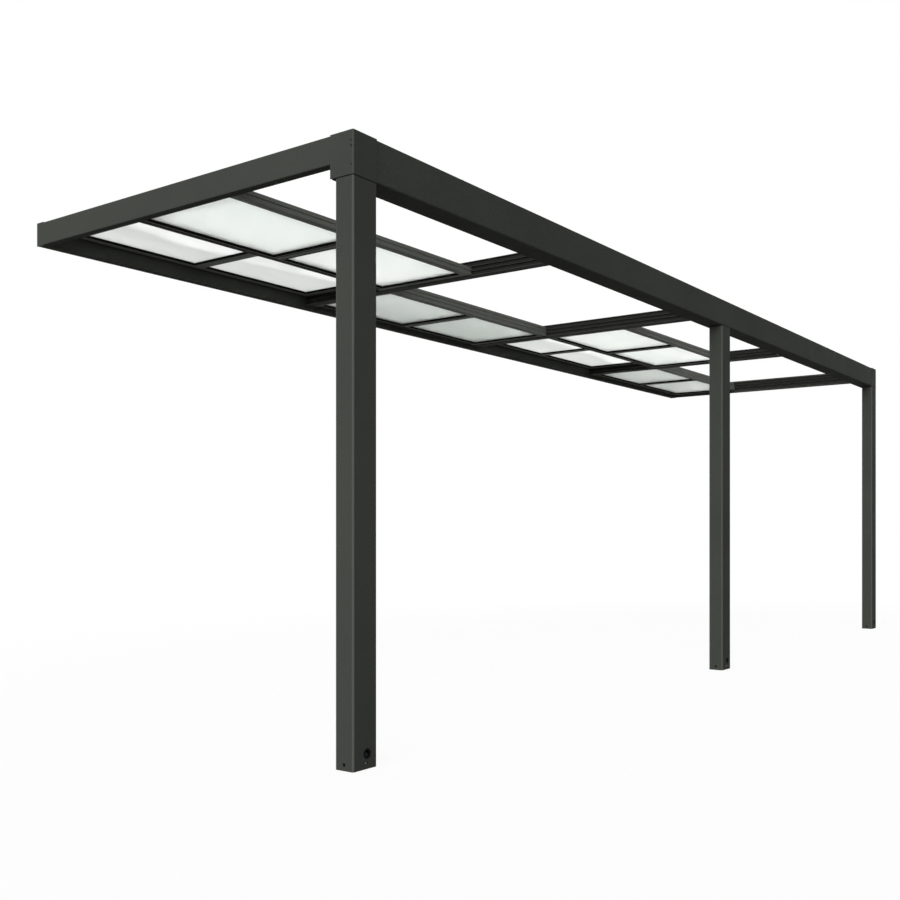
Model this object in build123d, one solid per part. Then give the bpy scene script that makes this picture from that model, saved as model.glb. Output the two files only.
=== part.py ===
from build123d import *
import os

# A wall-mounted aluminium patio cover, 8 m long: three posts carry a gutter beam, a wall plate
# carries the back, and four bays between rafters hold sliding roof panels on three track levels.
# X runs along the gutter, Y from the gutter to the wall, Z up.
# The origin is on the ground, under the middle of the middle post. All sizes are in millimetres.

# Overall sizes
overall_length = 8000.0
overall_depth = 2250.0
clear_height = 2450.0

# Posts, and the feet inside them
post_width = 150.0
post_depth = 100.0
post_wall = 4.0
post_corner = 9.0
drain_hole = 35.0
drain_height = 64.0
drain_offset = 12.0
foot_plate = 10.0
foot_clearance = 0.3
foot_rim = 5.0
foot_rim_height = 40.0
foot_tongue_height = 110.0
foot_tongue_depth = 60.0
anchor_hole = 14.0

# Gutter beam
gutter_height = 180.0
gutter_depth = 125.0
gutter_wall = 3.0
gutter_chamber = 62.0
gutter_lip = 6.0
gutter_corner = 8.0
gutter_top_edge = 2.5
outlet_hole = 50.0

# Corner caps on the gutter's ends
cap_plate = 3.0
cap_corner = 8.0
cap_depth = 12.0
cap_lip = 20.0

# Side beams and wall plate
side_width = 46.0
side_height = 120.0
side_wall = 3.0
side_corner = 5.0
wall_plate_depth = 60.0
wall_plate_wall = 3.0
shelf_depth = 14.0
shelf_thickness = 3.0
wall_cap = 3.0
wall_cap_rim = 2.0

# Rafters, with their three track levels
rafter_width = 40.0
rafter_middle_width = 64.0
rafter_wall = 2.5
rafter_drop = 13.0
flange = 3.0
ledge = 2.0
ledge_reach = 14.0
track_pitch = 27.0
track_levels = 3
bracket_leg = 45.0
bracket_thickness = 3.0

# Roof panels: frame, glass and running gaps
frame_width = 48.0
middle_bar = 70.0
frame_height = 20.0
runner_height = 2.0
runner_width = 5.0
seat_gap = 0.3
side_gap = 5.0
end_gap = 5.0
panel_overlap = 40.0
glass_thickness = 6.0
glass_cover = 3.0
glass_grip = 8.0
glass_gap = 0.3

# Places worked out from the sizes above
half_length = overall_length / 2
post_front = -post_depth / 2
gutter_front = post_front + cap_plate
gutter_back = gutter_front + gutter_depth
gutter_top = clear_height + gutter_height
wall_face = post_front + overall_depth
wall_plate_front = wall_face - wall_plate_depth
side_bottom = gutter_top - side_height
rafter_height = 2 * flange + track_levels * track_pitch
rafter_top = gutter_top - rafter_drop
rafter_bottom = rafter_top - rafter_height
side_inner = half_length - side_width
bay_width = (side_inner - rafter_middle_width / 2 - rafter_width) / 2
rafter_x = rafter_middle_width / 2 + bay_width + rafter_width / 2
post_x = half_length - post_width / 2

# Panel places: one panel length serves all three rows
front_closed = gutter_back + end_gap
wall_row_end = wall_plate_front - seat_gap
panel_length = (wall_row_end - front_closed + 2 * panel_overlap) / 3
wall_row_start = wall_row_end - panel_length
middle_closed = wall_row_start + panel_overlap - panel_length
panel_open = wall_plate_front - end_gap - panel_length
panel_width = bay_width - 2 * side_gap

SIDES = (("left", -1), ("right", 1))


def block(x0, x1, y0, y1, z0, z1):
    """A box between two corners."""
    size = Box(x1 - x0, y1 - y0, z1 - z0, align=(Align.MIN, Align.MIN, Align.MIN))
    return Pos(x0, y0, z0) * size


def area(u0, u1, v0, v1):
    """A rectangle between two corners, for profiles."""
    size = Rectangle(u1 - u0, v1 - v0, align=(Align.MIN, Align.MIN))
    return Pos(u0, v0) * size


def along_x(profile, x0, x1):
    """Extrudes a profile drawn in Y and Z from x0 to x1."""
    return extrude(Plane.YZ.offset(x0) * profile, amount=x1 - x0)


def along_y(profile, y0, y1):
    """Extrudes a profile drawn in X and Z from y0 to y1."""
    return extrude(Plane.XZ.offset(-y0) * profile, amount=-(y1 - y0))


def level(number):
    """Height of the top of a track ledge: 0 is the lowest."""
    return rafter_bottom + flange + number * track_pitch


def post(x):
    """A rectangular tube that also drains the gutter through a hole near its foot."""
    outside = RectangleRounded(post_width, post_depth, post_corner)
    inside = RectangleRounded(post_width - 2 * post_wall, post_depth - 2 * post_wall,
                              post_corner - post_wall)
    tube = Pos(x, 0, 0) * extrude(outside - inside, amount=clear_height)
    bore = Cylinder(drain_hole / 2, 3 * post_wall, rotation=(90, 0, 0))
    return tube - Pos(x + drain_offset, post_front, drain_height) * bore


def post_foot(x):
    """The anchor foot inside a post: a base plate with a rim and two side tongues."""
    width = post_width - 2 * post_wall - 2 * foot_clearance
    depth = post_depth - 2 * post_wall - 2 * foot_clearance
    corner = post_corner - post_wall
    outline = RectangleRounded(width, depth, corner)
    hollow = RectangleRounded(width - 2 * foot_rim, depth - 2 * foot_rim, corner / 2)
    foot = extrude(outline, amount=foot_plate)
    foot += extrude(outline - hollow, amount=foot_rim_height)
    for side in (-1, 1):
        inner = side * (width / 2 - foot_rim)
        outer = side * width / 2
        foot += block(min(inner, outer), max(inner, outer), -foot_tongue_depth / 2,
                      foot_tongue_depth / 2, foot_plate, foot_tongue_height)
        foot -= Pos(side * width / 4, 0, foot_plate / 2) * Cylinder(anchor_hole / 2, 2 * foot_plate)
    return Pos(x, 0, 0) * foot


def gutter_span(side):
    """Half of the gutter's length, from the middle to where the corner cap's plate stops it."""
    end = side * (half_length - cap_depth)
    return min(0, end), max(0, end)


def lower_front(profile):
    """The corner of a profile that is lowest and nearest to the front."""
    return profile.vertices().sort_by(Axis.X)[:2].sort_by(Axis.Y)[0]


def gutter_beam(side):
    """The closed chamber that carries the roof, with the outlets that drain into the posts."""
    chamber_top = clear_height + gutter_chamber
    outside = area(gutter_front, gutter_back, clear_height, chamber_top + gutter_wall)
    outside = fillet(lower_front(outside), gutter_corner)
    inside = area(gutter_front + gutter_wall, gutter_back - gutter_wall,
                  clear_height + gutter_wall, chamber_top)
    inside = fillet(lower_front(inside), gutter_corner - gutter_wall)
    half = along_x(outside - inside, *gutter_span(side))
    for x in (0, side * post_x):
        half -= Pos(x, 0, clear_height) * Cylinder(outlet_hole / 2, 3 * gutter_chamber)
    return half


def gutter_front_wall(side):
    """The front of the channel, flush with the beam below it: a plate with a lip at its top."""
    foot = clear_height + gutter_chamber + gutter_wall
    plate = area(gutter_front, gutter_front + gutter_wall, foot, gutter_top)
    plate = fillet(plate.vertices().sort_by(Axis.X)[:2].sort_by(Axis.Y)[-1], gutter_top_edge)
    lip = area(gutter_front + gutter_wall, gutter_front + gutter_wall + gutter_lip,
               gutter_top - gutter_wall, gutter_top)
    return along_x(plate + lip, *gutter_span(side))


def gutter_back_wall(side):
    """The back of the channel, which the side beams and rafters butt against."""
    foot = clear_height + gutter_chamber + gutter_wall
    plate = area(gutter_back - gutter_wall, gutter_back, foot, gutter_top)
    lip = area(gutter_back - gutter_wall - gutter_lip, gutter_back - gutter_wall,
               gutter_top - gutter_wall, gutter_top)
    return along_x(plate + lip, *gutter_span(side))


def corner_cap(side):
    """A pressed cap over the gutter's end that wraps round to the width of the post."""
    outer = side * half_length
    inner = side * (half_length - post_width)
    low, high = min(outer, inner), max(outer, inner)
    top = gutter_top + cap_plate
    cap = block(low, high, post_front, gutter_back, clear_height, top)
    edge = cap.edges().filter_by(Axis.Z).sort_by(Axis.Y)[:2].sort_by(Axis.X)
    cap = fillet(edge[0] if side < 0 else edge[-1], cap_corner)
    plate = side * (half_length - cap_plate)
    hollow = block(min(plate, 2 * inner - plate), max(plate, 2 * inner - plate), gutter_front,
                   gutter_back + cap_plate, clear_height - cap_plate, gutter_top)
    edge = hollow.edges().filter_by(Axis.Z).sort_by(Axis.Y)[:2].sort_by(Axis.X)
    hollow = fillet(edge[0] if side < 0 else edge[-1], cap_corner - cap_plate)
    cap -= hollow
    trim = side * (half_length - cap_lip)
    cap -= block(min(trim, 2 * inner - trim), max(trim, 2 * inner - trim),
                 post_front + cap_lip, gutter_back + cap_plate, gutter_top - cap_plate,
                 top + cap_plate)
    return cap


def ledges(core, direction):
    """The three track ledges and the top flange on one side of a core."""
    tip = core + direction * ledge_reach
    left, right = min(core, tip), max(core, tip)
    bands = area(left, right, rafter_bottom, rafter_bottom + flange)
    bands += area(left, right, rafter_top - flange, rafter_top)
    for number in range(1, track_levels):
        bands += area(left, right, level(number) - ledge, level(number))
    return bands


def rafter(x, width):
    """A hollow rafter with ledges on both sides, one pair for each panel level."""
    core = area(x - width / 2, x + width / 2, rafter_bottom, rafter_top)
    hollow = area(x - width / 2 + rafter_wall, x + width / 2 - rafter_wall,
                  rafter_bottom + flange, rafter_top - flange)
    profile = core + ledges(x - width / 2, -1) + ledges(x + width / 2, 1) - hollow
    return along_y(profile, gutter_back, wall_plate_front)


def side_beam(side):
    """The end beam of the roof: a tall hollow fascia with ledges on its inner side."""
    outer = side * half_length
    inner = side * side_inner
    core = area(min(outer, inner), max(outer, inner), side_bottom, gutter_top)
    edges = core.vertices().sort_by(Axis.X)
    core = fillet(edges[:2] if side < 0 else edges[-2:], side_corner)
    hollow_outer = side * (half_length - side_wall)
    hollow_inner = side * (side_inner + side_wall)
    hollow = area(min(hollow_outer, hollow_inner), max(hollow_outer, hollow_inner),
                  side_bottom + side_wall, gutter_top - side_wall)
    profile = core + ledges(inner, -side) - hollow
    return along_y(profile, gutter_back, wall_plate_front)


def wall_plate(side):
    """Half of the hollow plate on the wall, with a shelf that carries the wall row."""
    outside = area(wall_plate_front, wall_face, side_bottom, gutter_top)
    inside = area(wall_plate_front + wall_plate_wall, wall_face - wall_plate_wall,
                  side_bottom + wall_plate_wall, gutter_top - wall_plate_wall)
    end = side * (half_length - wall_cap)
    half = along_x(outside - inside, min(0, end), max(0, end))
    shelf_top = level(track_levels - 1) + seat_gap
    for low, high in bay_spans():
        if low * side > 0:
            half += block(low + ledge_reach + side_gap, high - ledge_reach - side_gap,
                          wall_plate_front - shelf_depth, wall_plate_front,
                          shelf_top - shelf_thickness, shelf_top)
    return half


def wall_end_cap(side):
    """The flat cap on one end of the wall plate, a little taller than the plate."""
    outer = side * half_length
    inner = side * (half_length - wall_cap)
    return block(min(outer, inner), max(outer, inner), wall_plate_front, wall_face,
                 side_bottom - wall_cap_rim, gutter_top + wall_cap_rim)


def bay_spans():
    """The clear span of each bay between the faces of its beams, from left to right."""
    inner = rafter_middle_width / 2
    far = inner + bay_width
    outer = far + rafter_width
    return ((-side_inner, -outer), (-far, -inner), (inner, far), (outer, side_inner))


def rafter_brackets():
    """Angles under both ends of each rafter."""
    brackets = []
    drop = rafter_bottom - side_bottom
    for x, width in ((-rafter_x, rafter_width), (0, rafter_middle_width), (rafter_x, rafter_width)):
        left, right = x - width / 2, x + width / 2
        for wall, way in ((gutter_back, 1), (wall_plate_front, -1)):
            tip = wall + way * bracket_leg
            back = wall + way * bracket_thickness
            flat = block(left, right, min(wall, tip), max(wall, tip),
                         rafter_bottom - bracket_thickness, rafter_bottom)
            leg = block(left, right, min(wall, back), max(wall, back), rafter_bottom - drop,
                        rafter_bottom)
            brackets.append(flat + leg)
    return Compound(children=brackets)


def panes(span):
    """The two clear openings in a panel frame, as spans in X."""
    left, right = span[0] + side_gap + frame_width, span[1] - side_gap - frame_width
    middle = (left + right) / 2
    return ((left, middle - middle_bar / 2), (middle + middle_bar / 2, right))


def panel_frame(span, start, number):
    """A rebated frame with a middle bar, and runner ribs that ride on the ledges."""
    left, right = span[0] + side_gap, span[1] - side_gap
    end = start + panel_length
    bottom = level(number) + seat_gap + runner_height
    frame = block(left, right, start, end, bottom, bottom + frame_height)
    groove_low = bottom + frame_height - glass_cover - glass_thickness - glass_gap
    groove_high = bottom + frame_height - glass_cover + glass_gap
    grip = glass_grip + glass_gap
    for low, high in panes(span):
        frame -= block(low, high, start + frame_width, end - frame_width, bottom - 1,
                       bottom + frame_height + 1)
        frame -= block(low - grip, high + grip, start + frame_width - grip,
                       end - frame_width + grip, groove_low, groove_high)
    for low, high in ((left, left + runner_width), (right - runner_width, right)):
        frame += block(low, high, start, end, bottom - runner_height, bottom)
    return frame


def panel_glass(span, start, number):
    """The two panes of a panel, held in the rebate of its frame."""
    end = start + panel_length
    bottom = level(number) + seat_gap + runner_height
    low_face = bottom + frame_height - glass_cover - glass_thickness
    sheets = [block(low - glass_grip, high + glass_grip, start + frame_width - glass_grip,
                    end - frame_width + glass_grip, low_face, low_face + glass_thickness)
              for low, high in panes(span)]
    return Compound(children=sheets)


def panel_rows(bay):
    """Row name, start in Y and track level of the three panels of a bay, as they stand."""
    stacked = panel_open if bay % 2 == 0 else middle_closed
    return (("front", stacked, 0), ("middle", stacked, 1), ("wall", wall_row_start, 2))


def build():
    """All pieces by node name."""
    pieces = {}
    for name, x in (("left", -post_x), ("middle", 0), ("right", post_x)):
        pieces["post_" + name] = post(x)
    pieces["post_feet"] = Compound(children=[post_foot(x) for x in (-post_x, 0, post_x)])
    for name, side in SIDES:
        pieces["gutter_beam_" + name] = gutter_beam(side)
        pieces["gutter_front_" + name] = gutter_front_wall(side)
        pieces["gutter_back_" + name] = gutter_back_wall(side)
        pieces["corner_cap_" + name] = corner_cap(side)
        pieces["side_beam_" + name] = side_beam(side)
        pieces["rafter_" + name] = rafter(side * rafter_x, rafter_width)
        pieces["wall_plate_" + name] = wall_plate(side)
    pieces["wall_caps"] = Compound(children=[wall_end_cap(side) for _, side in SIDES])
    pieces["rafter_middle"] = rafter(0, rafter_middle_width)
    pieces["rafter_brackets"] = rafter_brackets()
    for bay, span in enumerate(bay_spans(), start=1):
        for row, start, number in panel_rows(bay):
            pieces[f"{row}_panel_frame_{bay}"] = panel_frame(span, start, number)
            pieces[f"{row}_panel_glass_{bay}"] = panel_glass(span, start, number)
    return pieces


if __name__ == "__main__":
    os.makedirs("parts", exist_ok=True)
    for node, shape in build().items():
        export_step(shape, f"parts/{node}.step")
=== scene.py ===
import math

import bmesh
import bpy
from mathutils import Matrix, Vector


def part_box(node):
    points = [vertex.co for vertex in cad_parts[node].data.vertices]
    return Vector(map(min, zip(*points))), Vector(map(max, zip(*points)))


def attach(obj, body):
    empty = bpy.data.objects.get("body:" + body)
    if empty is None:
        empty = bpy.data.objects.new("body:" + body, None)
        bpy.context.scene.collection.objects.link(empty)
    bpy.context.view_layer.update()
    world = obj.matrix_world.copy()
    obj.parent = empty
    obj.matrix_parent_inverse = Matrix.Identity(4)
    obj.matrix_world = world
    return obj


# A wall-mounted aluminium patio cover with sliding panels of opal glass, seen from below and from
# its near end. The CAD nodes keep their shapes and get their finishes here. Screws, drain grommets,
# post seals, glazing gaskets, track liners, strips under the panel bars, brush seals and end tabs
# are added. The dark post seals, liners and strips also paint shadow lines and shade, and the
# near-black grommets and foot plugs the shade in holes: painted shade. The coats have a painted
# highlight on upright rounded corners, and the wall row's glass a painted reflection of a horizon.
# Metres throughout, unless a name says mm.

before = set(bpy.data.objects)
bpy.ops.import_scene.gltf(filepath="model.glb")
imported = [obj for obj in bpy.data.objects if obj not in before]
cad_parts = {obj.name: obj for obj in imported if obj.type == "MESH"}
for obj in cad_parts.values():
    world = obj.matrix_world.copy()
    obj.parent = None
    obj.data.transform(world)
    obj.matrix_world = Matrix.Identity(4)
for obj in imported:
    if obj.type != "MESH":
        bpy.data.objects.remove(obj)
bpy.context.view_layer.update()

MM = 0.001

# Sizes of the CAD model that the added pieces are set against
POST_X = 3.925
POSTS = (-POST_X, 0.0, POST_X)
POST_HALF_WIDTH = 75 * MM
POST_HALF_DEPTH = 50 * MM
DRAIN_OFFSET = 12 * MM
DRAIN_HEIGHT = 64 * MM
DRAIN_RADIUS = 17.5 * MM
POST_WALL = 4 * MM
CAP_OUTER = 4.0
GUTTER_BACK = 78 * MM
WALL_PLATE_FRONT = 2.14
BRACKET_BOTTOM = 2.527
BRACKET_LEG = 45 * MM
RAFTERS = {-1.993: 40 * MM, 0.0: 64 * MM, 1.993: 40 * MM}
# Where a rafter meets the gutter and the wall plate, and the way from there along it
RAFTER_ENDS = ((GUTTER_BACK, 1), (WALL_PLATE_FRONT, -1))
FRAME_BAR = 48 * MM
MIDDLE_BAR = 70 * MM
RUNNER = 2 * MM
BAYS = (1, 2, 3, 4)


# Node helpers

def linear(code):
    """The linear colour of an sRGB hex code."""
    parts = [int(code[i:i + 2], 16) / 255 for i in (1, 3, 5)]
    return [c / 12.92 if c <= 0.04045 else ((c + 0.055) / 1.055) ** 2.4 for c in parts] + [1.0]


def add_node(tree, kind, settings=None, values=None, links=None):
    """Adds a node with its settings, the values of its inputs and the links into them."""
    node = tree.nodes.new(kind)
    for name, value in (settings or {}).items():
        setattr(node, name, value)
    for key, value in (values or {}).items():
        node.inputs[key].default_value = value
    for key, source in (links or {}).items():
        tree.links.new(source, node.inputs[key])
    return node


def new_material(name):
    """An empty node material with its output, and the object's own coordinates."""
    material = bpy.data.materials.new(name)
    material.use_nodes = True
    tree = material.node_tree
    tree.nodes.clear()
    place = add_node(tree, "ShaderNodeTexCoord").outputs["Object"]
    output = add_node(tree, "ShaderNodeOutputMaterial")
    return material, tree, place, output


def noise(tree, place, size_mm, detail=2.0, roughness=0.5):
    """Noise whose lumps are about size_mm across."""
    node = add_node(tree, "ShaderNodeTexNoise", values={
        "Scale": 1000.0 / size_mm, "Detail": detail, "Roughness": roughness},
        links={"Vector": place})
    return node.outputs["Fac"]


def spread(tree, value, low, high, from_low=0.35, from_high=0.65):
    """Maps a range of values, by default a noise's middle range, to low and high."""
    node = add_node(tree, "ShaderNodeMapRange", values={
        "From Min": from_low, "From Max": from_high, "To Min": low, "To Max": high},
        links={"Value": value})
    return node.outputs["Result"]


def calculate(tree, operation, *values):
    """What an operation such as MULTIPLY makes of numbers or sockets."""
    node = add_node(tree, "ShaderNodeMath", settings={"operation": operation})
    for index, value in enumerate(values):
        if isinstance(value, (int, float)):
            node.inputs[index].default_value = value
        else:
            tree.links.new(value, node.inputs[index])
    return node.outputs[0]


def blend_colour(tree, factor, first, second):
    """A mix of two colours, each a hex code or a socket."""
    node = add_node(tree, "ShaderNodeMix", settings={"data_type": "RGBA"}, links={0: factor})
    for index, colour in ((6, first), (7, second)):
        if isinstance(colour, str):
            node.inputs[index].default_value = linear(colour)
        else:
            tree.links.new(colour, node.inputs[index])
    return node.outputs[2]


# Finishes

COAT_DRIFT_MM = 700.0
COAT_SHEEN_MM = 180.0
COAT_GRAIN_MM = 5.0
SPECK_COLOUR = "#8b8d88"
SPECK_SHARE = 0.06
CLOUD_STRETCH = (0.55, 1.6, 1.0)
RIPPLE_MM = 90.0
FILM_SHARE = 0.35
# The wavy band of the painted horizon reflection on the wall row's glass
BAND_WAVE = 0.09
BAND_LEFT = 0.6
BAND_TAIL = 0.35
BLOOM_MM = 60.0
PORES_MM = 3.0
STREAK_STRETCH = (1.0, 1.0, 0.05)


def corner_highlight_mask(tree):
    """Mask of the painted corner highlight: 1 on upright rounded edges, by the way they face, 0 on
    flat faces.
    """
    facing = add_node(tree, "ShaderNodeTexCoord").outputs["Normal"]
    parts = add_node(tree, "ShaderNodeSeparateXYZ", links={0: facing}).outputs
    both = calculate(tree, "MULTIPLY", parts["X"], parts["Y"])
    return spread(tree, calculate(tree, "ABSOLUTE", both), 0.0, 1.0, from_low=0.05, from_high=0.35)


def powder_coat(name, dark, light, corner_highlight, sheen, roughness):
    """Fine-textured polyester powder, sprayed and baked. It gives a dry, even, nearly matt face
    with faint drifts in tone and no mirror. Upright rounded corners get a painted highlight in a
    paler colour. Its grain is 0.3 mm and is drawn at 5 mm, to show."""
    material, tree, place, output = new_material(name)
    drift = noise(tree, place, COAT_DRIFT_MM, detail=3.0)
    colour = blend_colour(tree, spread(tree, drift, 0.0, 1.0), dark, light)
    # Painted highlight: upright rounded corners take the paler highlight colour
    colour = blend_colour(tree, corner_highlight_mask(tree), colour, corner_highlight)
    grain = noise(tree, place, COAT_GRAIN_MM, detail=1.0)
    specks = spread(tree, grain, 0.0, SPECK_SHARE, from_low=0.45, from_high=0.75)
    speck = blend_colour(tree, specks, colour, SPECK_COLOUR)
    bump = add_node(tree, "ShaderNodeBump", values={"Strength": 0.15, "Distance": 0.3 * MM},
                    links={"Height": grain})
    rough = spread(tree, noise(tree, place, COAT_SHEEN_MM), roughness - 0.05, roughness + 0.06)
    shader = add_node(tree, "ShaderNodeBsdfPrincipled", values={
        "Metallic": 0.0, "IOR": 1.5, "Specular IOR Level": sheen},
        links={"Base Color": speck, "Roughness": rough, "Normal": bump.outputs["Normal"]})
    tree.links.new(shader.outputs[0], output.inputs["Surface"])
    return material


def opal_glass(name, clear, cloud, cloud_mm, haze, film_tone, dusted=None):
    """Laminated float glass with a white opal film. It lets the sky through as an even milky
    light, and the film's slow drifts show as soft grey clouds. The film scatters its share of
    the light, so a pane stays even up to its frame. A reflection band is a painted reflection of
    a darker horizon, which takes the place of the clouds: the places along Y where its wavy band
    starts and is darkest."""
    material, tree, place, output = new_material(name)
    stretched = add_node(tree, "ShaderNodeMapping", values={"Scale": CLOUD_STRETCH},
                         links={"Vector": place})
    drift = noise(tree, stretched.outputs["Vector"], cloud_mm, detail=2.0, roughness=0.4)
    density = spread(tree, drift, 0.0, 1.0, from_low=0.38, from_high=0.62)
    # Painted reflection: a wavy band along Y, darker like a mirrored horizon, in place of the clouds
    if dusted is not None:
        along = add_node(tree, "ShaderNodeSeparateXYZ", links={0: place}).outputs["Y"]
        wave = spread(tree, drift, -BAND_WAVE, BAND_WAVE)
        along = calculate(tree, "ADD", along, wave)
        start, darkest = dusted
        rise = spread(tree, along, 0.0, 1.0, start, darkest)
        fall = spread(tree, along, 1.0, BAND_LEFT, darkest, darkest + BAND_TAIL)
        density = calculate(tree, "MULTIPLY", rise, fall)
    colour = blend_colour(tree, density, clear, cloud)
    ripple = noise(tree, place, RIPPLE_MM, detail=1.0)
    bump = add_node(tree, "ShaderNodeBump", values={"Strength": 0.02, "Distance": 0.1 * MM},
                    links={"Height": ripple})
    rough = spread(tree, ripple, haze - 0.02, haze + 0.02)
    shader = add_node(tree, "ShaderNodeBsdfPrincipled", values={
        "Metallic": 0.0, "IOR": 1.22, "Transmission Weight": 1.0},
        links={"Base Color": colour, "Roughness": rough, "Normal": bump.outputs["Normal"]})
    film = add_node(tree, "ShaderNodeVectorMath", settings={"operation": "SCALE"},
                    values={"Scale": film_tone}, links={0: colour})
    milk = add_node(tree, "ShaderNodeBsdfTranslucent", links={"Color": film.outputs[0]})
    pane = add_node(tree, "ShaderNodeMixShader", values={0: FILM_SHARE},
                    links={1: shader.outputs[0], 2: milk.outputs[0]})
    tree.links.new(pane.outputs[0], output.inputs["Surface"])
    return material


def rubber(name, dark, light):
    """Dull rubber, plastic or pile, such as extruded EPDM. It gives soft lines without shine, with
    a slightly greyed skin."""
    material, tree, place, output = new_material(name)
    bloom = noise(tree, place, BLOOM_MM, detail=3.0)
    colour = blend_colour(tree, spread(tree, bloom, 0.0, 1.0), dark, light)
    pores = noise(tree, place, PORES_MM)
    bump = add_node(tree, "ShaderNodeBump", values={"Strength": 0.2, "Distance": 0.2 * MM},
                    links={"Height": pores})
    rough = spread(tree, bloom, 0.72, 0.85)
    shader = add_node(tree, "ShaderNodeBsdfPrincipled", values={
        "Metallic": 0.0, "IOR": 1.5, "Specular IOR Level": 0.05},
        links={"Base Color": colour, "Roughness": rough, "Normal": bump.outputs["Normal"]})
    tree.links.new(shader.outputs[0], output.inputs["Surface"])
    return material


def metal(name, dark, light, roughness, streak_mm):
    """Bare metal with the fine streaks of the mill or the lathe, drawn coarse enough to show."""
    material, tree, place, output = new_material(name)
    drawn = add_node(tree, "ShaderNodeMapping", values={"Scale": STREAK_STRETCH},
                     links={"Vector": place})
    streaks = noise(tree, drawn.outputs["Vector"], streak_mm, detail=3.0)
    colour = blend_colour(tree, spread(tree, streaks, 0.0, 1.0), dark, light)
    bump = add_node(tree, "ShaderNodeBump", values={"Strength": 0.15, "Distance": 0.1 * MM},
                    links={"Height": streaks})
    rough = spread(tree, streaks, roughness - 0.06, roughness + 0.08)
    shader = add_node(tree, "ShaderNodeBsdfPrincipled", values={"Metallic": 1.0},
                      links={"Base Color": colour, "Roughness": rough,
                             "Normal": bump.outputs["Normal"]})
    tree.links.new(shader.outputs[0], output.inputs["Surface"])
    return material


# Each coat's third colour is its painted highlight on upright rounded corners: strongest on the
# frame, fainter on the caps, the tracks and the panel frames
frame_coat = powder_coat("anthracite_powder_coat", "#3a3c39", "#3e403c", "#4e504c",
                         sheen=0.002, roughness=0.72)
cap_coat = powder_coat("cap_powder_coat_faint_highlight", "#3a3c39", "#3e403c", "#444642",
                       sheen=0.002, roughness=0.72)
track_coat = powder_coat("graphite_powder_coat", "#3a3b39", "#3d3e3c", "#40413f",
                         sheen=0.01, roughness=0.72)
panel_coat = powder_coat("slate_powder_coat", "#5e605b", "#646661", "#686a65",
                         sheen=0.03, roughness=0.64)
sliding_glass = opal_glass("opal_glass", "#f8f9f8", "#f5f7f5",
                           cloud_mm=900.0, haze=0.75, film_tone=0.84)
# The wall row's glass has a painted reflection of a horizon; its second colour is the band's darkest
# tone
wall_glass = opal_glass("dusted_opal_glass", "#eff0ef", "#d6d8d6",
                        cloud_mm=420.0, haze=0.75, film_tone=0.77, dusted=(1.72, 1.80))
gasket_rubber = rubber("epdm_rubber", "#0f0f0f", "#191918")
# Near black, darker than rubber: the grommets and foot plugs also paint the shade of their holes
grommet_rubber = rubber("carbon_black_rubber", "#040404", "#060606")
# Painted shade: near-black strips that draw the shadow lines under the panel bars
shadow_strip_rubber = rubber("dark_strip_painted_shade", "#131312", "#24241f")
# Painted shade: dark liners that darken the lit webs of the tracks
track_shade_liner = rubber("dark_track_liner_painted_shade", "#212220", "#262725")
brush_pile = rubber("grey_nylon_pile", "#5e605b", "#70726c")
screw_steel = metal("blackened_stainless_steel", "#121212", "#1e1e1d",
                    roughness=0.38, streak_mm=2.0)
zinc_steel = metal("zinc_plated_steel", "#6c6e70", "#7c7e80", roughness=0.45, streak_mm=2.0)
bare_aluminium = metal("mill_aluminium", "#c4c6c8", "#d6d7d8", roughness=0.4, streak_mm=4.0)


def finish_for(name):
    """The finish of a CAD node, by its name."""
    if "_glass_" in name:
        return wall_glass if name.startswith("wall") else sliding_glass
    if "_panel_frame_" in name:
        return panel_coat
    if name.startswith("rafter"):
        return track_coat
    if name.startswith("corner_cap"):
        return cap_coat
    return bare_aluminium if name == "post_feet" else frame_coat


for node_name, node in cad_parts.items():
    for material_slot in node.material_slots:
        material_slot.material = finish_for(node_name)


# Mesh helpers

WELD_DISTANCE = 0.01 * MM


def mesh_piece(name, build, material, smooth_angle=None):
    """A piece at the origin whose mesh build(bm) makes."""
    bm = bmesh.new()
    build(bm)
    bmesh.ops.remove_doubles(bm, verts=bm.verts, dist=WELD_DISTANCE)
    bmesh.ops.recalc_face_normals(bm, faces=bm.faces)
    if smooth_angle is not None:
        for face in bm.faces:
            face.smooth = True
        for edge in bm.edges:
            edge.smooth = edge.calc_face_angle(math.pi) < smooth_angle
    mesh = bpy.data.meshes.new(name)
    bm.to_mesh(mesh)
    bm.free()
    mesh.materials.append(material)
    piece = bpy.data.objects.new(name, mesh)
    bpy.context.scene.collection.objects.link(piece)
    return piece


def loft_rings(bm, rings):
    """Joins rings of points into one closed skin, the last ring to the first."""
    made = [[bm.verts.new(point) for point in ring] for ring in rings]
    count = len(made[0])
    for index, first in enumerate(made):
        second = made[(index + 1) % len(made)]
        for side in range(count):
            after = (side + 1) % count
            bm.faces.new((first[side], first[after], second[after], second[side]))


def rectangle_ring(bm, opening, profile):
    """Sweeps a closed profile of (inward, height) points round a rectangle, with mitred corners."""
    x0, x1, y0, y1 = opening
    rings = []
    for inward, height in profile:
        rings.append([(x0 + inward, y0 + inward, height), (x1 - inward, y0 + inward, height),
                      (x1 - inward, y1 - inward, height), (x0 + inward, y1 - inward, height)])
    loft_rings(bm, rings)


def prism(bm, outline, low, high):
    """A plate with the outline of (x, y) points, from height low to high."""
    bottom = [bm.verts.new((x, y, low)) for x, y in outline]
    top = [bm.verts.new((x, y, high)) for x, y in outline]
    bm.faces.new(reversed(bottom))
    bm.faces.new(top)
    for index in range(len(outline)):
        after = (index + 1) % len(outline)
        bm.faces.new((bottom[index], bottom[after], top[after], top[index]))


# Glazing gaskets

GASKET_LIP = 14 * MM
GASKET_STEP = 1 * MM


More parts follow.
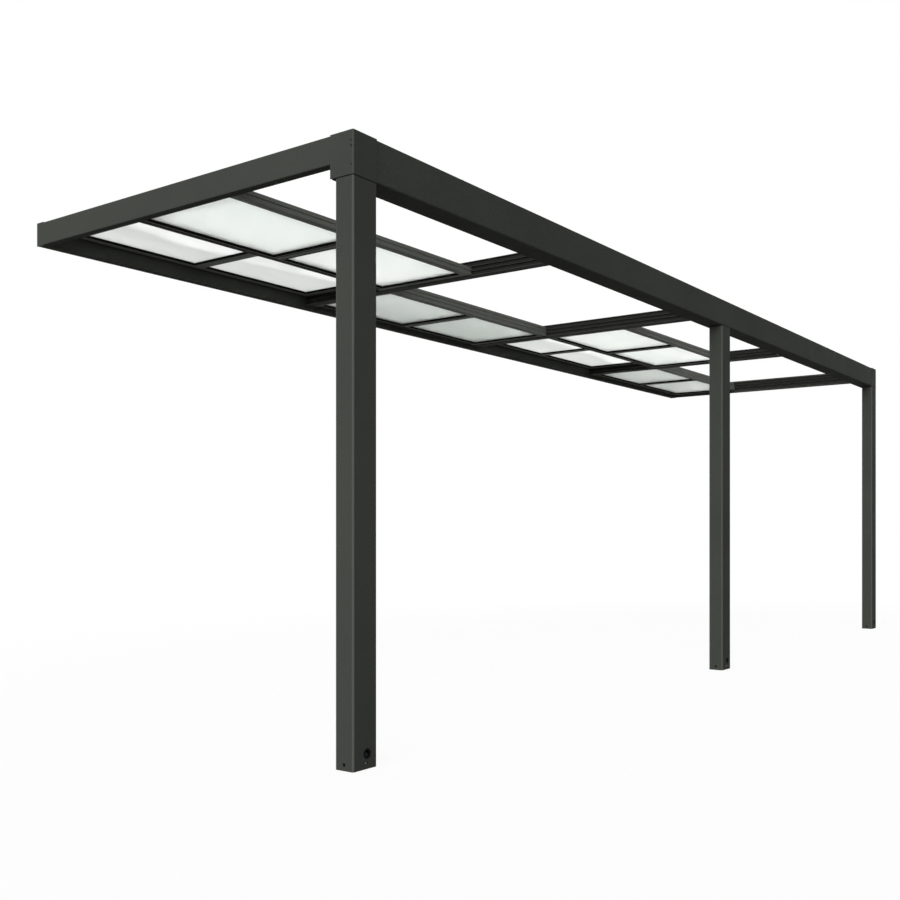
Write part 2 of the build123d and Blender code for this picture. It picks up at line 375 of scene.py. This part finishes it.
def pane_openings(frame_node):
    """The two clear openings of a panel frame, and its underside and top."""
    low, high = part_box(frame_node)
    left, right = low.x + FRAME_BAR, high.x - FRAME_BAR
    middle = (left + right) / 2
    front, back = low.y + FRAME_BAR, high.y - FRAME_BAR
    openings = ((left, middle - MIDDLE_BAR / 2, front, back),
                (middle + MIDDLE_BAR / 2, right, front, back))
    return openings, low.z + RUNNER, high.z


def gasket_profiles(underside, top, glass_low, glass_high):
    """The wedge below a pane and the flatter one above it, as (inward, height) points."""
    below = [(0.0, underside + GASKET_STEP), (1.6 * MM, underside + GASKET_STEP),
             (2.6 * MM, underside + 2.2 * MM), (3.2 * MM, glass_low - 3.0 * MM),
             (5.0 * MM, glass_low - 1.6 * MM), (GASKET_LIP - 1.5 * MM, glass_low - 1.0 * MM),
             (GASKET_LIP, glass_low), (0.0, glass_low)]
    above = [(0.0, glass_high), (8 * MM, glass_high), (7 * MM, glass_high + 1.0 * MM),
             (3.2 * MM, glass_high + 1.6 * MM), (2.2 * MM, top - 1.2 * MM), (0.0, top - 0.8 * MM)]
    return below, above


def add_gaskets(bm, row, bay):
    """The rubber round both panes of one panel, below and above the glass."""
    openings, underside, top = pane_openings(f"{row}_panel_frame_{bay}")
    glass_low, glass_high = (corner.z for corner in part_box(f"{row}_panel_glass_{bay}"))
    for opening in openings:
        for profile in gasket_profiles(underside, top, glass_low, glass_high):
            rectangle_ring(bm, opening, profile)


for row in ("front", "middle"):
    for bay in BAYS:
        gaskets = mesh_piece(f"{row}_panel_gaskets_{bay}",
                             lambda bm: add_gaskets(bm, row, bay), gasket_rubber)
        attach(gaskets, f"{row}_panel_{bay}")


def add_wall_row_gaskets(bm):
    for bay in BAYS:
        add_gaskets(bm, "wall", bay)


wall_gaskets = mesh_piece("wall_panel_gaskets", add_wall_row_gaskets, gasket_rubber)
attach(wall_gaskets, "cover")


# Drain grommets

GROMMET_LIP = 5.0 * MM
GROMMET_STAND = 1.2 * MM
GROMMET_SIDES = 32
GROMMET_SLEEVE = 2.4 * MM
GROMMET_TAIL = 1.5 * MM
GROMMET_EDGE = 0.4 * MM
GROMMET_BEVEL = 0.6 * MM
GROMMET_EASE = 0.2 * MM


def add_grommet(bm, x):
    """A rubber ring in a post's drain hole: a flat lip outside and a sleeve through the wall."""
    outer = DRAIN_RADIUS + GROMMET_LIP
    inner = DRAIN_RADIUS - GROMMET_SLEEVE
    sleeve = DRAIN_RADIUS - GROMMET_EASE
    face = -POST_HALF_DEPTH
    front = face - GROMMET_STAND
    back = face + POST_WALL + GROMMET_TAIL
    profile = [(outer, face), (outer, face - GROMMET_EDGE), (outer - GROMMET_BEVEL, front),
               (inner + GROMMET_BEVEL, front), (inner, face - GROMMET_EASE), (inner, back),
               (sleeve, back), (sleeve, face)]
    rings = []
    for radius, y in profile:
        rings.append([(x + DRAIN_OFFSET + radius * math.cos(turn), y,
                       DRAIN_HEIGHT + radius * math.sin(turn))
                      for turn in (2 * math.pi * step / GROMMET_SIDES
                                   for step in range(GROMMET_SIDES))])
    loft_rings(bm, rings)


def add_grommets(bm):
    for x in POSTS:
        add_grommet(bm, x)


# Painted shade: the near-black grommet also draws the dark drain hole
grommets = mesh_piece("drain_grommets", add_grommets, grommet_rubber, math.radians(40))
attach(grommets, "cover")


# Seals on the posts' tops, dark to paint the shadow line under the gutter

SEAL_HEIGHT = 5 * MM
SEAL_STAND = 0.8 * MM
POST_CORNER = 9 * MM
POST_TOP = 2.45
CORNER_STEPS = 6


def rounded_rectangle(x, half_width, half_depth, corner, height):
    """The points of a rounded rectangle round a post's axis."""
    points = []
    for quarter, (side, end) in enumerate(((1, 1), (-1, 1), (-1, -1), (1, -1))):
        for step in range(CORNER_STEPS + 1):
            turn = math.pi / 2 * (quarter + step / CORNER_STEPS)
            points.append((x + side * (half_width - corner) + corner * math.cos(turn),
                           end * (half_depth - corner) + corner * math.sin(turn), height))
    return points


def add_post_shadow_seals(bm):
    """The rubber band round the top of each post, where the gutter beam sits on it. Its black also
    paints the shadow line of that joint: painted shade.
    """
    for x in POSTS:
        rings = []
        for stand, height in ((0.0, POST_TOP - SEAL_HEIGHT), (SEAL_STAND, POST_TOP - SEAL_HEIGHT),
                              (SEAL_STAND, POST_TOP), (0.0, POST_TOP)):
            rings.append(rounded_rectangle(x, POST_HALF_WIDTH + stand, POST_HALF_DEPTH + stand,
                                           POST_CORNER + stand, height))
        loft_rings(bm, rings)


seals = mesh_piece("post_top_shadow_seals", add_post_shadow_seals, gasket_rubber)
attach(seals, "cover")


# Track liners and strips under the panel bars, both dark to paint shade

LINER_THICKNESS = 0.8 * MM
TRACK_BANDS = ((2.5335, 2.5575), (2.5605, 2.5845), (2.5875, 2.6135))
SIDE_INNER = 3.954
TRACK_ENDS = (GUTTER_BACK + 1 * MM, WALL_PLATE_FRONT - 1 * MM)


def add_shade_liners(bm):
    """Dark liners on the web of every track, one on each of its three levels: painted shade in the
    tracks.
    """
    webs = [(side * SIDE_INNER, -side) for side in (-1, 1)]
    for x, width in RAFTERS.items():
        webs += [(x + side * width / 2, side) for side in (-1, 1)]
    y0, y1 = TRACK_ENDS
    for web, way in webs:
        face = web + way * LINER_THICKNESS
        x0, x1 = min(web, face), max(web, face)
        for low, high in TRACK_BANDS:
            prism(bm, [(x0, y0), (x1, y0), (x1, y1), (x0, y1)], low, high)


liners = mesh_piece("track_shade_liners", add_shade_liners, track_shade_liner)
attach(liners, "cover")

STRIP_THICKNESS = 1.2 * MM
REAR_STRIP_INSET = 9 * MM
MIDDLE_STRIP_INSET = 9 * MM
MIDDLE_STRIP_WIDTH = 7 * MM


def add_shadow_strips(bm, row, bay):
    """Dark strips under a panel's rear bar and its middle bar: painted shadow lines."""
    openings, underside, _ = pane_openings(f"{row}_panel_frame_{bay}")
    low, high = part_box(f"{row}_panel_frame_{bay}")
    bands = [(low.x + FRAME_BAR, high.x - FRAME_BAR,
              high.y - FRAME_BAR + REAR_STRIP_INSET, high.y - REAR_STRIP_INSET / 2)]
    left, right = openings[0][1], openings[1][0]
    for x0 in (left + MIDDLE_STRIP_INSET, right - MIDDLE_STRIP_INSET - MIDDLE_STRIP_WIDTH):
        bands.append((x0, x0 + MIDDLE_STRIP_WIDTH, low.y + FRAME_BAR, high.y - FRAME_BAR))
    for x0, x1, y0, y1 in bands:
        prism(bm, [(x0, y0), (x1, y0), (x1, y1), (x0, y1)],
              underside - STRIP_THICKNESS, underside)


for row in ("front", "middle"):
    for bay in BAYS:
        strips = mesh_piece(f"{row}_panel_shadow_strips_{bay}",
                            lambda bm: add_shadow_strips(bm, row, bay), shadow_strip_rubber)
        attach(strips, f"{row}_panel_{bay}")


# End tabs on the rafters

TAB_REACH = 42 * MM
TAB_CHAMFER = 22 * MM
TAB_THICKNESS = 3 * MM
RAFTER_FLANGE_BOTTOM = 2.614


def add_tabs(bm):
    """Chamfered plates that tie each rafter's top flange to the gutter and the wall plate."""
    for x, width in RAFTERS.items():
        for side in (-1, 1):
            for wall, way in RAFTER_ENDS:
                near, far = x + side * width / 2, x + side * (width / 2 + TAB_REACH)
                tip = wall + way * TAB_REACH
                outline = [(near, wall), (far, wall), (far, tip - way * TAB_CHAMFER),
                           (far - side * TAB_CHAMFER, tip), (near, tip)]
                prism(bm, outline, RAFTER_FLANGE_BOTTOM - TAB_THICKNESS, RAFTER_FLANGE_BOTTOM)


tabs = mesh_piece("rafter_end_tabs", add_tabs, frame_coat)
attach(tabs, "cover")


# Screws

SCREW_SIDES = 12
# Each step of a head's dome: its rise as a share of the head's height, and how its top shrinks
DOME_STEPS = ((0.45, 0.93), (0.35, 0.72), (0.20, 0.62))


def tree_with_inputs(name, inputs):
    """A geometry tree with a geometry input and output, and named inputs of the given types."""
    tree = bpy.data.node_groups.new(name, "GeometryNodeTree")
    tree.interface.new_socket("Geometry", in_out="INPUT", socket_type="NodeSocketGeometry")
    tree.interface.new_socket("Geometry", in_out="OUTPUT", socket_type="NodeSocketGeometry")
    for label, kind in inputs:
        tree.interface.new_socket(label, in_out="INPUT", socket_type="NodeSocket" + kind)
    entry = add_node(tree, "NodeGroupInput")
    leave = add_node(tree, "NodeGroupOutput")
    return tree, entry, leave


def screw_tree():
    """A domed screw head with a socket sunk into its top, set on every point along its facing."""
    tree, entry, leave = tree_with_inputs("domed_screws", [
        ("Head Radius", "Float"), ("Head Height", "Float"), ("Socket Depth", "Float"),
        ("Finish", "Material")])
    radius, height = entry.outputs["Head Radius"], entry.outputs["Head Height"]
    disc = add_node(tree, "GeometryNodeMeshCircle", settings={"fill_type": "NGON"},
                    values={"Vertices": SCREW_SIDES}, links={"Radius": radius})
    skin = disc.outputs["Mesh"]
    top = None
    for rise, scale in DOME_STEPS:
        links = {"Mesh": skin, "Offset Scale": calculate(tree, "MULTIPLY", height, rise)}
        if top is not None:
            links["Selection"] = top
        lift = add_node(tree, "GeometryNodeExtrudeMesh", settings={"mode": "FACES"}, links=links)
        top = lift.outputs["Top"]
        skin = add_node(tree, "GeometryNodeScaleElements", values={"Scale": scale},
                        links={"Geometry": lift.outputs["Mesh"], "Selection": top}).outputs[0]
    sink = calculate(tree, "MULTIPLY", entry.outputs["Socket Depth"], -1.0)
    rim = add_node(tree, "GeometryNodeExtrudeMesh", settings={"mode": "FACES"},
                   links={"Mesh": skin, "Selection": top, "Offset Scale": sink})
    base = add_node(tree, "GeometryNodeFlipFaces", links={"Mesh": disc.outputs["Mesh"]})
    joined = add_node(tree, "GeometryNodeJoinGeometry")
    tree.links.new(rim.outputs["Mesh"], joined.inputs[0])
    tree.links.new(base.outputs[0], joined.inputs[0])
    head = add_node(tree, "GeometryNodeMergeByDistance", values={"Distance": 0.001 * MM},
                    links={"Geometry": joined.outputs[0]})
    facing = add_node(tree, "GeometryNodeInputNamedAttribute",
                      settings={"data_type": "FLOAT_VECTOR"}, values={"Name": "facing"})
    turn = add_node(tree, "FunctionNodeAlignRotationToVector", settings={"axis": "Z"},
                    links={"Vector": facing.outputs["Attribute"]})
    placed = add_node(tree, "GeometryNodeInstanceOnPoints",
                      links={"Points": entry.outputs["Geometry"], "Instance": head.outputs[0],
                             "Rotation": turn.outputs[0]})
    real = add_node(tree, "GeometryNodeRealizeInstances", links={"Geometry": placed.outputs[0]})
    painted = add_node(tree, "GeometryNodeSetMaterial",
                       links={"Geometry": real.outputs[0], "Material": entry.outputs["Finish"]})
    tree.links.new(painted.outputs[0], leave.inputs[0])
    return tree


def set_inputs(modifier, values):
    """Sets a modifier's inputs by the identifiers of their sockets."""
    for item in modifier.node_group.interface.items_tree:
        if item.in_out == "INPUT" and item.name in values:
            modifier[item.identifier] = values[item.name]


def grown_piece(name, mesh, tree, values):
    """The plain mesh that a geometry tree makes of mesh, as a piece at the origin."""
    seed = bpy.data.objects.new(name + "_seed", mesh)
    bpy.context.scene.collection.objects.link(seed)
    modifier = seed.modifiers.new("grow", "NODES")
    modifier.node_group = tree
    set_inputs(modifier, values)
    grown = bpy.data.meshes.new_from_object(
        seed.evaluated_get(bpy.context.evaluated_depsgraph_get()))
    grown.name = name
    seed.modifiers.remove(modifier)
    bpy.data.objects.remove(seed)
    piece = bpy.data.objects.new(name, grown)
    bpy.context.scene.collection.objects.link(piece)
    return piece


def screw_points(places):
    """A mesh of loose points with the way that each screw faces."""
    mesh = bpy.data.meshes.new("screw_points")
    mesh.from_pydata([point for point, _ in places], [], [])
    facing = mesh.attributes.new("facing", "FLOAT_VECTOR", "POINT")
    facing.data.foreach_set("vector", [part for _, way in places for part in way])
    return mesh


FOOT_SCREW_HEIGHT = 26 * MM
FOOT_PLUG_RADIUS = 7.5 * MM
FOOT_PLUG_SHIFT = 7 * MM
FOOT_SCREW_SHIFT = 5.5 * MM
CAP_SCREW_INSET = 12.5 * MM
CAP_SCREW_HEIGHTS = (2.588, 2.566, 2.491)
# How far a foot screw's base lies outside the post, as a share of the plug's radius
FOOT_SCREW_STAND = 0.2
# Where the screws sit, as shares of the rafter's width and the bracket's leg, and of the tab's reach
BRACKET_SCREW_SIDE = 0.28
BRACKET_SCREW_ALONG = 0.62
TAB_SCREW_SIDE = 0.62
TAB_SCREW_ALONG = 0.3
# How deep a socket is, as a share of the head's height
SOCKET_SHARE = 0.6


def foot_plugs():
    """One dark screw plug low on each face of a post, over the foot inside it: also painted shade of
    a hole.
    """
    places = []
    for x in POSTS:
        for side in (-1, 1):
            places.append(((x + side * POST_HALF_WIDTH, 0.0, FOOT_SCREW_HEIGHT), (side, 0, 0)))
            places.append(((x + FOOT_PLUG_SHIFT, side * POST_HALF_DEPTH, FOOT_SCREW_HEIGHT),
                           (0, side, 0)))
    return places


def foot_screws():
    """The bright screws that stand on the front and back plugs, near their left edge."""
    reach = POST_HALF_DEPTH + FOOT_SCREW_STAND * FOOT_PLUG_RADIUS
    return [((x + FOOT_PLUG_SHIFT - FOOT_SCREW_SHIFT, side * reach, FOOT_SCREW_HEIGHT), (0, side, 0))
            for x in POSTS for side in (-1, 1)]


def cap_screws():
    """Three screws near the front edge of each corner cap."""
    return [((side * CAP_OUTER, -POST_HALF_DEPTH + CAP_SCREW_INSET, height), (side, 0, 0))
            for side in (-1, 1) for height in CAP_SCREW_HEIGHTS]


def bracket_screws():
    """Two screws in each flat leg under a rafter."""
    return [((x + side * width * BRACKET_SCREW_SIDE,
              wall + way * BRACKET_LEG * BRACKET_SCREW_ALONG, BRACKET_BOTTOM), (0, 0, -1))
            for x, width in RAFTERS.items()
            for wall, way in RAFTER_ENDS for side in (-1, 1)]


def tab_screws():
    """One bright screw in each tab, clear of the rafter's flange."""
    return [((x + side * (width / 2 + TAB_REACH * TAB_SCREW_SIDE),
              wall + way * TAB_REACH * TAB_SCREW_ALONG,
              RAFTER_FLANGE_BOTTOM - TAB_THICKNESS), (0, 0, -1))
            for x, width in RAFTERS.items()
            for wall, way in RAFTER_ENDS for side in (-1, 1)]


screws = screw_tree()
# Each group: its name, its places, the head's radius, its height as a share of that, and the finish
for name, places, radius, height, finish in (
        ("foot_plugs", foot_plugs(), FOOT_PLUG_RADIUS, 0.25, grommet_rubber),
        ("foot_screws", foot_screws(), 3.8 * MM, 0.5, zinc_steel),
        ("cap_screws", cap_screws(), 4.2 * MM, 0.6, screw_steel),
        ("bracket_screws", bracket_screws(), 4.2 * MM, 0.6, screw_steel),
        ("tab_screws", tab_screws(), 5.0 * MM, 0.6, bare_aluminium)):
    heads = grown_piece(name, screw_points(places), screws, {
        "Head Radius": radius, "Head Height": height * radius,
        "Socket Depth": SOCKET_SHARE * height * radius, "Finish": finish})
    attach(heads, "cover")


# Brush seals

BRUSH_INSET = 2 * MM
BRUSH_ENDS = 14 * MM
BRUSH_CARRIER = 1.5 * MM
BRUSH_WIDTH = 7 * MM
BRUSH_PILE = 4.5 * MM
BRUSH_PITCH = 5 * MM
TUFT_SIDES = 4
TUFT_TIP = 0.45
TUFT_ROOT = 0.62
TUFT_SHARE = 0.8
LEAN_FROM = (-0.14, -0.1, 0.0)
LEAN_TO = (0.14, 0.1, 0.9)


def brush_tree():
    """Tufts of bristles hung along a line, leaning a little this way and that."""
    tree, entry, leave = tree_with_inputs("brush_tufts", [
        ("Pitch", "Float"), ("Pile Length", "Float"), ("Tuft Width", "Float"), ("Seed", "Int"),
        ("Finish", "Material")])
    line = add_node(tree, "GeometryNodeMeshToCurve", links={"Mesh": entry.outputs["Geometry"]})
    points = add_node(tree, "GeometryNodeCurveToPoints", settings={"mode": "LENGTH"},
                      links={"Curve": line.outputs[0], "Length": entry.outputs["Pitch"]})
    width = entry.outputs["Tuft Width"]
    tuft = add_node(tree, "GeometryNodeMeshCone", settings={"fill_type": "NGON"},
                    values={"Vertices": TUFT_SIDES},
                    links={"Radius Top": calculate(tree, "MULTIPLY", width, TUFT_TIP),
                           "Radius Bottom": calculate(tree, "MULTIPLY", width, TUFT_ROOT),
                           "Depth": entry.outputs["Pile Length"]})
    lean = add_node(tree, "FunctionNodeRandomValue", settings={"data_type": "FLOAT_VECTOR"},
                    values={"Min": LEAN_FROM, "Max": LEAN_TO},
                    links={"Seed": entry.outputs["Seed"]})
    upside = add_node(tree, "ShaderNodeVectorMath", settings={"operation": "ADD"},
                      links={0: lean.outputs["Value"]})
    upside.inputs[1].default_value = (math.pi, 0.0, 0.0)
    turn = add_node(tree, "FunctionNodeEulerToRotation", links={0: upside.outputs[0]})
    placed = add_node(tree, "GeometryNodeInstanceOnPoints",
                      links={"Points": points.outputs["Points"], "Instance": tuft.outputs["Mesh"],
                             "Rotation": turn.outputs[0]})
    real = add_node(tree, "GeometryNodeRealizeInstances", links={"Geometry": placed.outputs[0]})
    painted = add_node(tree, "GeometryNodeSetMaterial",
                       links={"Geometry": real.outputs[0], "Material": entry.outputs["Finish"]})
    tree.links.new(painted.outputs[0], leave.inputs[0])
    return tree


def brush_lines(panels):
    """A mesh of straight edges, one under the front bar of each panel, for its tufts."""
    points, edges = [], []
    for row, bay in panels:
        low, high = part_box(f"{row}_panel_frame_{bay}")
        y = low.y + BRUSH_INSET + BRUSH_WIDTH / 2
        z = low.z + RUNNER - BRUSH_CARRIER
        for x in (low.x + BRUSH_ENDS, high.x - BRUSH_ENDS):
            points.append((x, y, z))
        edges.append((len(points) - 2, len(points) - 1))
    mesh = bpy.data.meshes.new("brush_lines")
    mesh.from_pydata(points, edges, [])
    return mesh


def add_carriers(bm, panels):
    """The thin strip that holds each brush."""
    for row, bay in panels:
        low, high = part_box(f"{row}_panel_frame_{bay}")
        x0, x1 = low.x + BRUSH_ENDS, high.x - BRUSH_ENDS
        y0 = low.y + BRUSH_INSET
        top = low.z + RUNNER
        prism(bm, [(x0, y0), (x1, y0), (x1, y0 + BRUSH_WIDTH), (x0, y0 + BRUSH_WIDTH)],
              top - BRUSH_CARRIER, top)


brushes = brush_tree()
brush_groups = [(f"middle_panel_{bay}", [("middle", bay)]) for bay in BAYS]
brush_groups.append(("cover", [("wall", bay) for bay in BAYS]))
for number, (body, panels) in enumerate(brush_groups):
    label = "wall_panel" if body == "cover" else body
    pile = grown_piece(label + "_brush", brush_lines(panels), brushes, {
        "Pitch": BRUSH_PITCH, "Pile Length": BRUSH_PILE, "Tuft Width": BRUSH_WIDTH * TUFT_SHARE,
        "Seed": number, "Finish": brush_pile})
    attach(pile, body)
    carrier = mesh_piece(label + "_brush_carrier", lambda bm: add_carriers(bm, panels), brush_pile)
    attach(carrier, body)


# Floor, sky, lamps and camera

FLOOR_GRAIN_MM = 400.0
FLOOR_FADE = (9.0, 7.0)
FLOOR_REACH = 60.0
SHADOW_SHARE = 0.08
SKY_LIGHT = 0.34
# Each lamp: its name, where its light comes from, its strength and its spread in degrees
LAMPS = (("left_softbox", (-1.0, -0.22, 0.34), 3.2, 50.0),
         ("front_softbox", (-0.57, -0.77, 0.30), 0.36, 35.0),
         ("back_softbox", (-0.05, 1.0, 0.05), 1.8, 30.0),
         ("right_softbox", (1.0, -0.12, 0.05), 1.4, 30.0))


def seen_rays(tree):
    """1 for rays that see a thing, mirror it or look through glass at it, and 0 for others."""
    rays = add_node(tree, "ShaderNodeLightPath").outputs
    seen = rays["Is Camera Ray"]
    for name in ("Is Glossy Ray", "Is Transmission Ray"):
        seen = calculate(tree, "MAXIMUM", seen, rays[name])
    return seen


def pale_floor():
    """A pale studio floor that fades to plain white and keeps the cover's soft shadow."""
    material, tree, place, output = new_material("pale_studio_floor")
    seen = seen_rays(tree)
    grain = noise(tree, place, FLOOR_GRAIN_MM)
    bounce = blend_colour(tree, grain, "#90908e", "#949492")
    dull = add_node(tree, "ShaderNodeBsdfDiffuse", links={"Color": bounce})
    pale = blend_colour(tree, grain, "#fbfbfb", "#ffffff")
    lit = add_node(tree, "ShaderNodeBsdfDiffuse", links={"Color": pale})
    glow = add_node(tree, "ShaderNodeEmission", values={"Color": linear("#ffffff")})
    near = add_node(tree, "ShaderNodeMapping", values={
        "Scale": (1 / FLOOR_FADE[0], 1 / FLOOR_FADE[1], 1.0)}, links={"Vector": place})
    fade = add_node(tree, "ShaderNodeTexGradient", settings={"gradient_type": "SPHERICAL"},
                    links={"Vector": near.outputs[0]})
    share = spread(tree, fade.outputs["Fac"], 0.0, SHADOW_SHARE, from_low=0.0, from_high=0.5)
    shown = add_node(tree, "ShaderNodeMixShader",
                     links={0: share, 1: glow.outputs[0], 2: lit.outputs[0]})
    chosen = add_node(tree, "ShaderNodeMixShader",
                      links={0: seen, 1: dull.outputs[0], 2: shown.outputs[0]})
    tree.links.new(chosen.outputs[0], output.inputs["Surface"])
    return material


def add_floor_plane(bm):
    corners = [bm.verts.new((x * FLOOR_REACH, y * FLOOR_REACH, 0.0)) for x, y in
               ((-1, -1), (1, -1), (1, 1), (-1, 1))]
    bm.faces.new(corners)


floor = mesh_piece("studio_floor", add_floor_plane, pale_floor())


def studio_sky():
    """White where it is seen, mirrored or looked through, and dimmer as a source of light."""
    world = bpy.data.worlds.new("studio_sky")
    world.cycles.sampling_method = "NONE"
    bpy.context.scene.world = world
    world.use_nodes = True
    tree = world.node_tree
    tree.nodes.clear()
    seen = seen_rays(tree)
    strength = add_node(tree, "ShaderNodeMapRange", values={"To Min": SKY_LIGHT, "To Max": 1.0},
                        links={"Value": seen})
    sky = add_node(tree, "ShaderNodeBackground", values={"Color": linear("#ffffff")},
                   links={"Strength": strength.outputs[0]})
    add_node(tree, "ShaderNodeOutputWorld", links={"Surface": sky.outputs[0]})


def soft_lamp(name, towards, strength, spread_deg):
    """A wide soft lamp whose light comes from the direction towards."""
    lamp = bpy.data.lights.new(name, "SUN")
    lamp.energy = strength
    lamp.angle = math.radians(spread_deg)
    holder = bpy.data.objects.new(name, lamp)
    holder.rotation_euler = Vector(towards).to_track_quat("Z", "Y").to_euler()
    bpy.context.scene.collection.objects.link(holder)


studio_sky()
for name, towards, strength, spread_deg in LAMPS:
    soft_lamp(name, towards, strength, spread_deg)


def photo_camera():
    """The photograph's view: level, from near the left end and about a metre above the ground."""
    image_width = 900.0
    focal_pixels = 1055.0
    horizon_row = 531.0
    yaw = math.radians(53.68)
    lens = bpy.data.cameras.new("photo_camera")
    lens.sensor_width = 36.0
    lens.lens = focal_pixels / image_width * lens.sensor_width
    lens.shift_y = (horizon_row - image_width / 2) / image_width
    lens.clip_end = 200.0
    camera = bpy.data.objects.new("photo_camera", lens)
    camera.location = (-7.238, -2.921, 0.988)
    camera.rotation_euler = (math.pi / 2, 0.0, -yaw)
    bpy.context.scene.collection.objects.link(camera)
    bpy.context.scene.camera = camera


photo_camera()
bpy.context.scene.view_settings.view_transform = "Standard"

bpy.context.view_layer.update()
